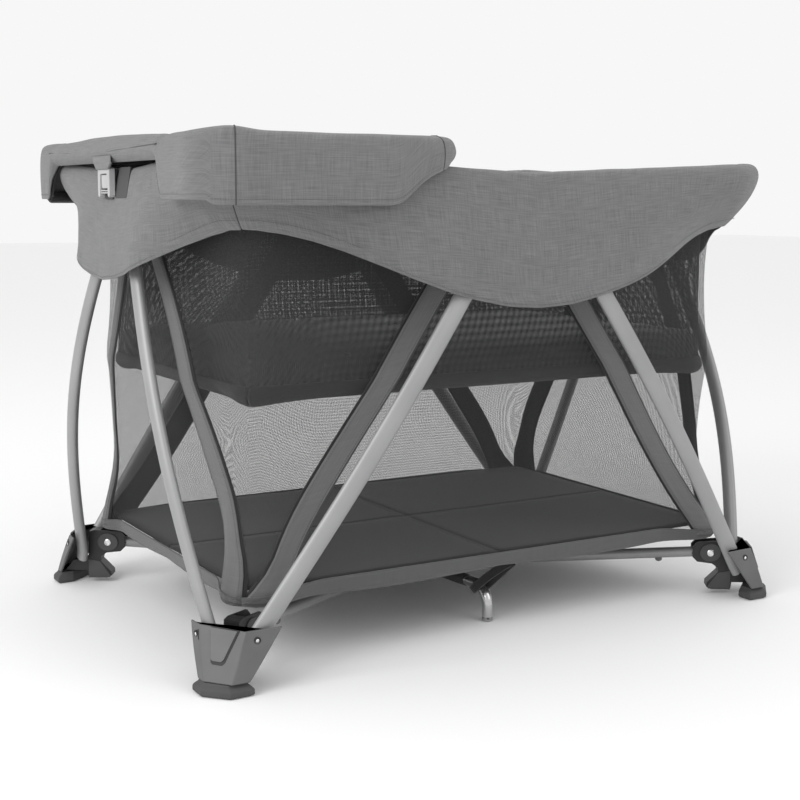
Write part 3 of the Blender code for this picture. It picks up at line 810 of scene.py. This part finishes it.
def make_floor_cloth():
    """The play yard's floor in four panels on the floor arms; its sewn lip round the outside is made in
    make_lips.
    """
    for name, (sx, sy) in CORNERS.items():
        body = "floor_arm_" + name
        rows = []
        for a in spread(0, 1, 25):
            row = []
            for b in spread(0, 1, 19):
                x, y = a * FLOOR_X, b * FLOOR_Y
                cx, cy = max(x - (FLOOR_X - FLOOR_CORNER), 0), max(y - (FLOOR_Y - FLOOR_CORNER), 0)
                reach = math.hypot(cx, cy)
                if cx > 0 and cy > 0 and reach > FLOOR_CORNER:
                    x = FLOOR_X - FLOOR_CORNER + cx * FLOOR_CORNER / reach
                    y = FLOOR_Y - FLOOR_CORNER + cy * FLOOR_CORNER / reach
                sag = 0.006 * math.sin(math.pi * min(a, 0.98)) * math.sin(math.pi * min(b, 0.98))
                quilt = 0.0012 * noise.noise(Vector((sx * x * 9, sy * y * 9, 1)))
                row.append(Vector((sx * x, sy * y, FLOOR_TOP - sag + quilt)))
            rows.append(row)
        panel = surface("floor_panel_" + name, rows, LINING, body, thick=0.004,
                        replaces=["floor_mattress"])
        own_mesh(panel)


def lip_low(side, s):
    """Lower edge of the floor's lip: it sags between the middle of a side and its corners."""
    share = abs(s) / side_half(side, FLOOR_X, FLOOR_Y, NET_CORNER)
    if side in LONG:
        return 0.109 - 0.006 * math.sin(math.pi * share) + 0.008 * share ** 4
    return 0.112 - 0.006 * math.sin(math.pi * share) + 0.005 * share ** 4


def make_lips():
    for side in SIDES:
        half = side_half(side, NET_X, NET_Y, NET_CORNER)
        body = "rail_joint_" + side
        rows, stitch = [], []
        for s in spread(-half, half, 61):
            row = []
            for z in spread(lip_low(side, s), LIP_TOP, 7):
                lift = 0.0032 - 0.005 * (LIP_TOP - z) / 0.03
                row.append(net_point(side, s, NET_LOW, lift) + Vector((0, 0, z - NET_LOW)))
            rows.append(row)
            stitch.append(net_point(side, s, NET_LOW, 0.0036) + Vector((0, 0, LIP_TOP - 0.003 - NET_LOW)))
        lip = surface("floor_lip_" + side, rows, LIP, body, thick=0.0022)
        seam = stitches("floor_lip_stitch_" + side, stitch, THREAD_LIGHT, body)
        squash_side(lip)
        squash_side(seam)


# ------------------------------------------------------------------ bassinet
CRADLE_X, CRADLE_Y, CRADLE_CORNER = 0.445, 0.290, 0.040
CRADLE_TOP, CRADLE_BAND, CRADLE_LOW = 0.700, 0.424, 0.401
STRIPS = (-0.428, -0.262, -0.095, 0.095, 0.262, 0.428)
MATTRESS_HALF, MATTRESS_TOP, MATTRESS_CROWN = 0.272, 0.474, 0.010
STRIP_BODIES = ("rail_joint_left", "long_leg_front_left", "rail_joint_front", "long_leg_front_right",
                "rail_joint_right")


def corner_pull(s, half):
    """0 along a side, rising to 1 at the pan's corners, which the net pulls out and down."""
    share = max(0.0, (abs(s) / half - 0.66) / 0.34)
    return share * share


def make_cradle():
    for side in SIDES:
        half = side_half(side, CRADLE_X, CRADLE_Y, CRADLE_CORNER)
        body = "rail_joint_" + side
        places = spread(-half, half, 41)

        def at(s, z, out=0.0):
            return ring_point(side, s, CRADLE_X, CRADLE_Y, CRADLE_CORNER, out, z)

        rows = [[at(s, z, -0.004 * math.sin(math.pi * (z - CRADLE_BAND) / (CRADLE_TOP - CRADLE_BAND)))
                 for z in spread(CRADLE_BAND, CRADLE_TOP, 12)] for s in places]
        net = surface("cradle_net_" + side, rows, NET_INNER, body,
                      replaces=["bassinet_shell"])
        squash_side(net)

        rows = []
        for s in places:
            pull = corner_pull(s, half)
            low = CRADLE_LOW - 0.007 * pull
            out = 0.008 * pull
            profile = [(0.001, CRADLE_BAND + 0.004), (0.0015 + out * 0.7, low + 0.020),
                       (-0.001 + out, low + 0.013), (-0.006 + out, low + 0.006),
                       (-0.014 + out, low + 0.001), (-0.026, low), (-0.038, CRADLE_LOW + 0.0005)]
            rows.append([at(s, z, out) for out, z in profile])
        pan = surface("cradle_pan_" + side, rows, LINING, body, thick=0.0024, levels=1)
        squash_side(pan)

        profile = ((0.0005, CRADLE_TOP - 0.012), (0.002, CRADLE_TOP), (0.012, 0.716), (0.026, 0.727),
                   (0.032, 0.731))
        rows = [[at(s, z, out) for out, z in profile] for s in places]
        rim = surface("cradle_rim_" + side, rows, LINING, body, thick=0.002, levels=1)
        squash_side(rim)


def pad_block(name, x_range, y_half, z_range, mat, body, crown, replaces):
    """One stuffed panel: crowned top, rolled edges and a drawn-in seam all round."""
    x0, x1 = x_range
    low, high = z_range
    count_x, count_y = 13, 41
    rows = []
    for a in spread(-1, 1, count_x):
        row = []
        for b in spread(-1, 1, count_y):
            x = (x0 + x1) / 2 + (x1 - x0) / 2 * a
            y = y_half * b
            edge = min(1 - abs(a), (1 - abs(b)) * y_half / ((x1 - x0) / 2))
            swell = math.sqrt(max(0.0, 1 - (1 - min(edge / 0.35, 1)) ** 2))
            wave = 0.0010 * noise.noise(Vector((x * 14, y * 14, low * 10)))
            row.append((x, y, high - crown + crown * swell + wave * swell))
        rows.append(row)
    bm = bmesh.new()
    layer = bm.loops.layers.uv.new("cloth")
    top = [[bm.verts.new(p) for p in row] for row in rows]
    base = [[bm.verts.new((p[0], p[1], low)) for p in row] for row in rows]
    for i in range(count_x - 1):
        for j in range(count_y - 1):
            bm.faces.new((top[i][j], top[i + 1][j], top[i + 1][j + 1], top[i][j + 1]))
            bm.faces.new((base[i][j + 1], base[i + 1][j + 1], base[i + 1][j], base[i][j]))
    rim = [(i, 0) for i in range(count_x)] + [(count_x - 1, j) for j in range(1, count_y)]
    rim += [(i, count_y - 1) for i in range(count_x - 2, -1, -1)]
    rim += [(0, j) for j in range(count_y - 2, 0, -1)]
    for (i, j), (next_i, next_j) in zip(rim, rim[1:] + rim[:1]):
        bm.faces.new((top[i][j], base[i][j], base[next_i][next_j], top[next_i][next_j]))
    for face in bm.faces:
        face.smooth = True
        for loop in face.loops:
            loop[layer].uv = (loop.vert.co.x + loop.vert.co.z, loop.vert.co.y + loop.vert.co.z)
    mesh = mesh_from(bm, name, sharp=60)
    return finish_piece(bpy.data.objects.new(name, mesh), mat, body, replaces)


def make_mattress():
    for number, body in enumerate(STRIP_BODIES):
        x0, x1 = STRIPS[number], STRIPS[number + 1]
        panel = pad_block(f"cradle_mattress_{number}", (x0 + 0.0006, x1 - 0.0006), MATTRESS_HALF,
                          (CRADLE_LOW + 0.003, MATTRESS_TOP), MATTRESS, body, MATTRESS_CROWN,
                          ["bassinet_mattress"])
        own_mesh(panel)


# ------------------------------------------------------------------ rim covers
RAIL_X, RAIL_Y, RIM_CORNER = 0.497, 0.350, 0.075
RIM_TOP = (0.7375, 0.7600)
LONG_HEM = [(0.00, 0.534), (0.06, 0.538), (0.12, 0.550), (0.17, 0.564), (0.22, 0.582), (0.27, 0.603),
            (0.32, 0.624), (0.36, 0.638), (0.40, 0.648), (0.44, 0.653), (0.50, 0.655), (0.60, 0.655)]
SHORT_HEM = [(0.00, 0.570), (0.05, 0.574), (0.10, 0.583), (0.14, 0.596), (0.18, 0.612), (0.22, 0.630),
             (0.26, 0.645), (0.30, 0.653), (0.45, 0.655)]
HEM_DEEP = 0.017
LONG_REACH, SHORT_REACH = (0.0335, 0.0490), (0.0360, 0.0567)     # past the rail at the top, at the hem
CORNER_REACH = -0.030                        # the hem lies against the net at the corners


def rim_profile(side, s, share, low, top):
    """(distance outwards from the rail, height) from the inner hem over the rim to the outer hem."""
    out, flare = LONG_REACH if side in LONG else SHORT_REACH
    straight = (RAIL_X if side in LONG else RAIL_Y) - RIM_CORNER
    turned_in = ease((abs(s) - straight * 0.42) / (straight * 0.58 + RIM_CORNER * 0.35))
    flare += (CORNER_REACH - flare) * turned_in
    out += (0.0260 - out) * ease((abs(s) - straight) / (RIM_CORNER * 0.6))
    roll = 0.012 + 0.006 * turned_in
    rows = [(-0.026, 0.694), (-0.0265, 0.712), (-0.0265, top - roll)]
    rows += [(-0.0265 + roll * (1 - math.cos(a)), top - roll + roll * math.sin(a))
             for a in (0.5, 1.0, math.pi / 2)]
    rows += [(out - roll + roll * math.sin(a), top - roll + roll * math.cos(a))
             for a in (0.0, 0.5, 1.0, math.pi / 2)]
    drop = top - roll - low
    ripple = noise.noise(Vector((s * 5, share, 3.0)))

    def reach(z, proud=0.0):
        t = (top - roll - z) / drop
        belly = 0.0025 * math.sin(math.pi * t) + 0.0016 * ripple * t * (1 - turned_in)
        return out + (flare - out) * t ** (1 + 0.5 * turned_in) + belly + proud, z

    for share_down in (0.14, 0.32, 0.50, 0.68, 0.86):
        rows.append(reach(top - roll - (drop - HEM_DEEP) * share_down))
    rows += [reach(low + HEM_DEEP, -0.0004), reach(low + HEM_DEEP - 0.0012, 0.0006),
             reach(low + 0.009, 0.0009), reach(low + 0.0015, 0.0006), reach(low)]
    return rows


def make_rim_covers():
    for side in SIDES:
        length = RAIL_X if side in LONG else RAIL_Y
        hem = LONG_HEM if side in LONG else SHORT_HEM
        half = side_half(side, RAIL_X, RAIL_Y, RIM_CORNER)
        body = "rail_joint_" + side
        rows, upper, lower = [], [], []
        for s in spread(-half, half, 97):
            share = min(1.0, abs(s) / (length - RIM_CORNER) * 0.85)
            top = RIM_TOP[0] + (RIM_TOP[1] - RIM_TOP[0]) * share
            top += 0.0012 * noise.noise(Vector((s * 16, 0, 7)))
            low = between(hem, abs(s))
            profile = rim_profile(side, s, share, low, top)

            def at(out, z):
                return ring_point(side, s, RAIL_X, RAIL_Y, RIM_CORNER, out, z)

            rows.append([at(out, z) for out, z in profile])
            upper.append(at(profile[-5][0] + 0.0014, profile[-5][1] - 0.0035))
            lower.append(at(profile[-1][0] + 0.0022, low + 0.0045))
        cover = surface("rim_valance_" + side, rows, HEATHER, body, thick=0.0022, levels=1,
                        replaces=["rim_cover_" + side])
        seams = [stitches(f"hem_stitch_{n}_{side}", path, THREAD, body, pitch=0.0036)
                 for n, path in enumerate((upper, lower))]
        for piece in [cover] + seams:
            squash_side(piece)


# ------------------------------------------------------------------ changing tray
TRAY_MIDDLE = Vector((-0.3375, 0, 0))
TRAY_X, TRAY_Y, TRAY_CORNER = 0.1975, 0.385, 0.060
BELOW_LONG = [(-0.60, 0.688), (-0.262, 0.688), (-0.246, 0.692), (-0.232, 0.703), (-0.214, 0.719),
              (-0.196, 0.731), (-0.178, 0.739), (-0.140, 0.747), (0.0, 0.748)]
WRAP_DEEP, ROLL_LOW = 0.695, 0.752
WRAP_FRONT, WRAP_BACK = -0.236, 0.280
PAD_X, PAD_HALF_Y, PAD_CELLS = (-0.480, -0.195), 0.330, (4, 9)
PAD_STEPS = (48, 108)                        # faces across and along the pad


def tray_point(side, s, out, z):
    return ring_point(side, s, TRAY_X, TRAY_Y, TRAY_CORNER, out, z) + TRAY_MIDDLE


def cover_low(side, spot):
    """Height of the tray cover's hem at a place on the tray's outline."""
    if side in LONG:
        return between(BELOW_LONG, spot.x)
    if side == "right":
        return 0.747
    edge = 0.013
    if spot.y < 0:
        share = ease((spot.y - (WRAP_FRONT - edge)) / (2 * edge))
    else:
        share = ease(((WRAP_BACK + edge) - spot.y) / (2 * edge))
    return WRAP_DEEP + (ROLL_LOW - WRAP_DEEP) * share


def crest(side, spot):
    """How far the padded rim stands above its usual line: stuffed ends, drawn in at the seams."""
    lift = 0.0015 * noise.noise(Vector((spot.x * 11, spot.y * 9, 5)))
    corner = math.exp(-((spot.x + 0.50) / 0.030) ** 2) * math.exp(-((abs(spot.y) - 0.365) / 0.050) ** 2)
    lift += 0.0055 * corner
    if side == "left":
        lift += 0.0042 * math.cos(min(1.0, abs(spot.y - 0.02) / 0.22) * math.pi / 2)
        for pinch in (WRAP_FRONT - 0.006, WRAP_BACK + 0.006):
            lift -= 0.0048 * math.exp(-((spot.y - pinch) / 0.014) ** 2)
    return lift


def cover_profile(side, spot):
    """(distance outwards from the tray's tube, height) from the hem up over the rim and down inside."""
    low = cover_low(side, spot)
    lift = crest(side, spot)
    wave = 0.0018 * noise.noise(Vector((spot.x * 7, spot.y * 7, 2)))
    full = 0.0145 + wave
    rolled = ease((low - 0.735) / 0.012)
    rows = []
    for t in (0.0, 0.06, 0.2, 0.38, 0.56, 0.74, 0.9):
        z = low + (0.774 - low) * t
        tucked = rolled * (0.0105 * (1 - t) ** 2 - 0.0035 * math.sin(math.pi * t))
        rows.append((full + 0.0012 * math.sin(math.pi * t) * (1 - rolled) - tucked, z))
    rows += [(0.0128 + wave, 0.7795 + lift * 0.5), (0.0075, 0.7845 + lift), (0.0, 0.7868 + lift),
             (-0.010, 0.7870 + lift), (-0.020, 0.7850 + lift), (-0.032, 0.7800 + lift * 0.6),
             (-0.043, 0.7735), (-0.051, 0.7690), (-0.058, 0.7655)]
    return rows


def make_changer_cover():
    rows, hem, inner_hem, piping = [], [], [], []
    for side in SIDES:
        half = side_half(side, TRAY_X, TRAY_Y, TRAY_CORNER)
        for s in spread(-half, half, 121 if side in ("left", "right") else 73)[:-1]:
            spot = tray_point(side, s, 0, 0)
            profile = cover_profile(side, spot)
            rows.append([tray_point(side, s, out, z) for out, z in profile])
            hem.append(tray_point(side, s, profile[1][0] + 0.0018, profile[1][1] + 0.003))
            inner_hem.append(tray_point(side, s, profile[0][0] - 0.006, profile[0][1] + 0.004))
            if side == "left" and WRAP_FRONT < spot.y < WRAP_BACK:
                rise = 0.7665 + 0.006 * abs(spot.y - 0.02) / 0.25
                piping.append(tray_point(side, s, 0.0156, rise))
    cover = surface("changer_cover_cloth", rows, HEATHER_PAD, "changer", thick=0.0030, closed=True, levels=1,
                    replaces=["changer_cover"])
    seam = stitches("changer_hem_stitch", hem + hem[:1], THREAD, "changer", pitch=0.0036)
    cord = sweep("changer_piping", piping, circle(0.0013, 8), BINDING_AND_SHADOW, "changer")
    binding = surface("changer_hem_binding", [[p, p + Vector((0, 0, 0.016))] for p in inner_hem], BINDING_AND_SHADOW,
                      "changer", thick=0.002, closed=True)
    make_corner_seams()


def make_corner_seams():
    """Sewn joins down the tray cover at its corners."""
    for number, (side, s_sign) in enumerate((("front", -1), ("back", 1), ("front", 1), ("back", -1))):
        half = side_half(side, TRAY_X, TRAY_Y, TRAY_CORNER)
        s = s_sign * (half - 0.026)
        spot = tray_point(side, s, 0, 0)
        profile = cover_profile(side, spot)
        path = [tray_point(side, s, out + 0.0012, z + (0.0012 if n > 8 else 0))
                for n, (out, z) in enumerate(profile[:13])]
        sweep(f"changer_corner_seam_{number}", path, circle(0.0010, 8), THREAD, "changer",
              side=SIDES[side][0])


def make_changer_pad():
    """Quilted pad: a stuffed sheet sewn down in a grid of cells."""
    (x0, x1), y_half = PAD_X, PAD_HALF_Y
    (cells_x, cells_y), (steps_x, steps_y) = PAD_CELLS, PAD_STEPS
    rows = []
    for a in spread(0, 1, steps_x + 1):
        row = []
        for b in spread(-1, 1, steps_y + 1):
            x = x0 + (x1 - x0) * a
            y = y_half * b
            edge = min(a, 1 - a) * (x1 - x0), (1 - abs(b)) * y_half
            rim = ease(min(edge) / 0.022)
            cell = abs(math.sin(math.pi * cells_x * a)) * abs(math.sin(math.pi * cells_y * (b + 1) / 2))
            puff = 0.0065 * cell ** 0.35
            row.append((x, y, 0.7540 + rim * (0.0045 + puff)))
        rows.append(row)
    top = surface("changer_pad_top", rows, HEATHER_PAD, "changer", thick=0.002,
                  replaces=["changer_pad"])
    base = []
    for i, row in enumerate(rows):
        edge_x = min(i, steps_x - i) / steps_x * (x1 - x0)
        edge_y = [min(j, steps_y - j) / steps_y * 2 * y_half for j in range(len(row))]
        base.append([(x, y, 0.7385 + 0.0135 * (1 - ease(min(edge_x, far) / 0.012)))
                     for (x, y, _), far in zip(row, edge_y)])
    under = surface("changer_pad_under", base, LINING, "changer", thick=0.002)
    edge = [(x0, -y_half), (x1, -y_half), (x1, y_half), (x0, y_half)]
    sweep("changer_pad_piping", rounded_loop(edge, 0.02, 0.7542), circle(0.0022, 8), BINDING_AND_SHADOW, "changer",
          closed=True)


def rounded_loop(corners, radius, z, steps=8):
    """The points of a closed outline with rounded corners."""
    points = []
    count = len(corners)
    for k in range(count):
        here = Vector(corners[k]).to_3d()
        before = (Vector(corners[k - 1]).to_3d() - here).normalized()
        after = (Vector(corners[(k + 1) % count]).to_3d() - here).normalized()
        start, end = here + before * radius, here + after * radius
        for t in spread(0, 1, steps):
            mixed = start.lerp(here, t).lerp(here.lerp(end, t), t)
            points.append(Vector((mixed.x, mixed.y, z)))
    return points


def make_clip():
    """A light yoke, with its lever and two bars, under a cloth tab."""
    body = "changer_clip"
    outline = [(-0.0270, 0.7425), (-0.0270, 0.7010), (-0.0225, 0.6980), (-0.0185, 0.7010), (-0.0175, 0.7300),
               (-0.0150, 0.7345), (0.0150, 0.7345), (0.0175, 0.7300), (0.0185, 0.7010), (0.0225, 0.6980),
               (0.0270, 0.7010), (0.0270, 0.7425)]
    rings = [[Vector((x, y, z)) for y, z in outline] for x in (-0.5400, -0.5498)]
    solid("clip_yoke", rings, LIGHT, body, width=0.0009, slot="light_plastic", replaces=["changer_clip"])
    lever = [(-0.0150, 0.7330), (-0.0150, 0.7165), (-0.0120, 0.7120), (0.0120, 0.7120), (0.0150, 0.7165),
             (0.0150, 0.7330)]
    rings = [[Vector((x, y, z)) for y, z in lever] for x in (-0.5440, -0.5478)]
    solid("clip_lever", rings, LIGHT, body, width=0.0012, slot="light_plastic")
    for number, z in enumerate((0.7085, 0.7052)):
        bar = [(-0.0186, z - 0.001), (0.0186, z - 0.001), (0.0186, z + 0.001), (-0.0186, z + 0.001)]
        rings = [[Vector((x, y, z)) for y, z in bar] for x in (-0.5440, -0.5480)]
        solid(f"clip_bar_{number}", rings, LIGHT, body, width=0.0004, slot="light_plastic")


def make_clip_tab():
    """The cloth tab that the clip hangs from."""
    rows = []
    for y in spread(-0.042, 0.042, 21):
        share = 1 - ease((abs(y) - 0.027) / 0.012)
        low = 0.7500 - 0.0095 * share
        rows.append([(-0.5515 - 0.0006 * share, y, z) for z in spread(0.7620, low, 5)] +
                    [(-0.5480, y, low + 0.001)])
    tab = surface("clip_tab", rows, HEATHER_PAD, "changer", thick=0.0018, levels=1)


def make_valance_slots():
    """Dark bound openings in the left valance, under the clip."""
    for name, y_range, z_range in (("front", (-0.078, -0.028), (0.697, 0.744)),
                                   ("middle", (-0.0185, 0.0185), (0.695, 0.742))):
        outline = rounded_loop([(y_range[0], z_range[0]), (y_range[1], z_range[0]), (y_range[1], z_range[1]),
                                (y_range[0], z_range[1])], 0.004, 0, 5)
        rings = [[valance_face(p.x, p.y, lift) for p in outline] for lift in (-0.0006, 0.0014)]
        solid("valance_slot_" + name, rings, BINDING_AND_SHADOW, "rail_joint_left", width=0.0004, slot="black_plastic")


def valance_face(y, z, lift):
    """A point just outside the left valance."""
    low, top = SHORT_HEM[0][1], RIM_TOP[0] - 0.012
    out, flare = SHORT_REACH
    t = (top - z) / (top - low)
    reach = out + (flare - out) * t + 0.0025 * math.sin(math.pi * max(0, t)) + 0.0012
    return Vector((-RAIL_X - reach - lift, y, z))


# ------------------------------------------------------------------ carried-over parts
NODE_LOOKS = (
    ("centre_hub", BLACK), ("hub_cap", CHEEK), ("fold_handle", BLACK), ("changer_frame", TUBE),
    ("foot_bracket", BLACK), ("long_rail", TUBE), ("short_rail", TUBE), ("rail_joint", CHEEK),
)


def dress_nodes():
    """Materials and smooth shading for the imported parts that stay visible."""
    for prefix, look in NODE_LOOKS:
        for obj in bpy.data.objects:
            if obj.type == "MESH" and obj.name in frame["nodes"] and obj.name.startswith(prefix):
                obj.data.materials.clear()
                obj.data.materials.append(look)
                obj.data.shade_smooth()
                obj.data.set_sharp_from_angle(angle=math.radians(35))


make_camera()
make_light()
make_floor()
make_legs()
make_bands()
make_nets()
make_feet()
make_arms()
make_stands()
make_floor_cloth()
make_lips()
make_cradle()
make_mattress()
make_rim_covers()
make_changer_cover()
make_changer_pad()
make_clip()
make_clip_tab()
make_valance_slots()
dress_nodes()
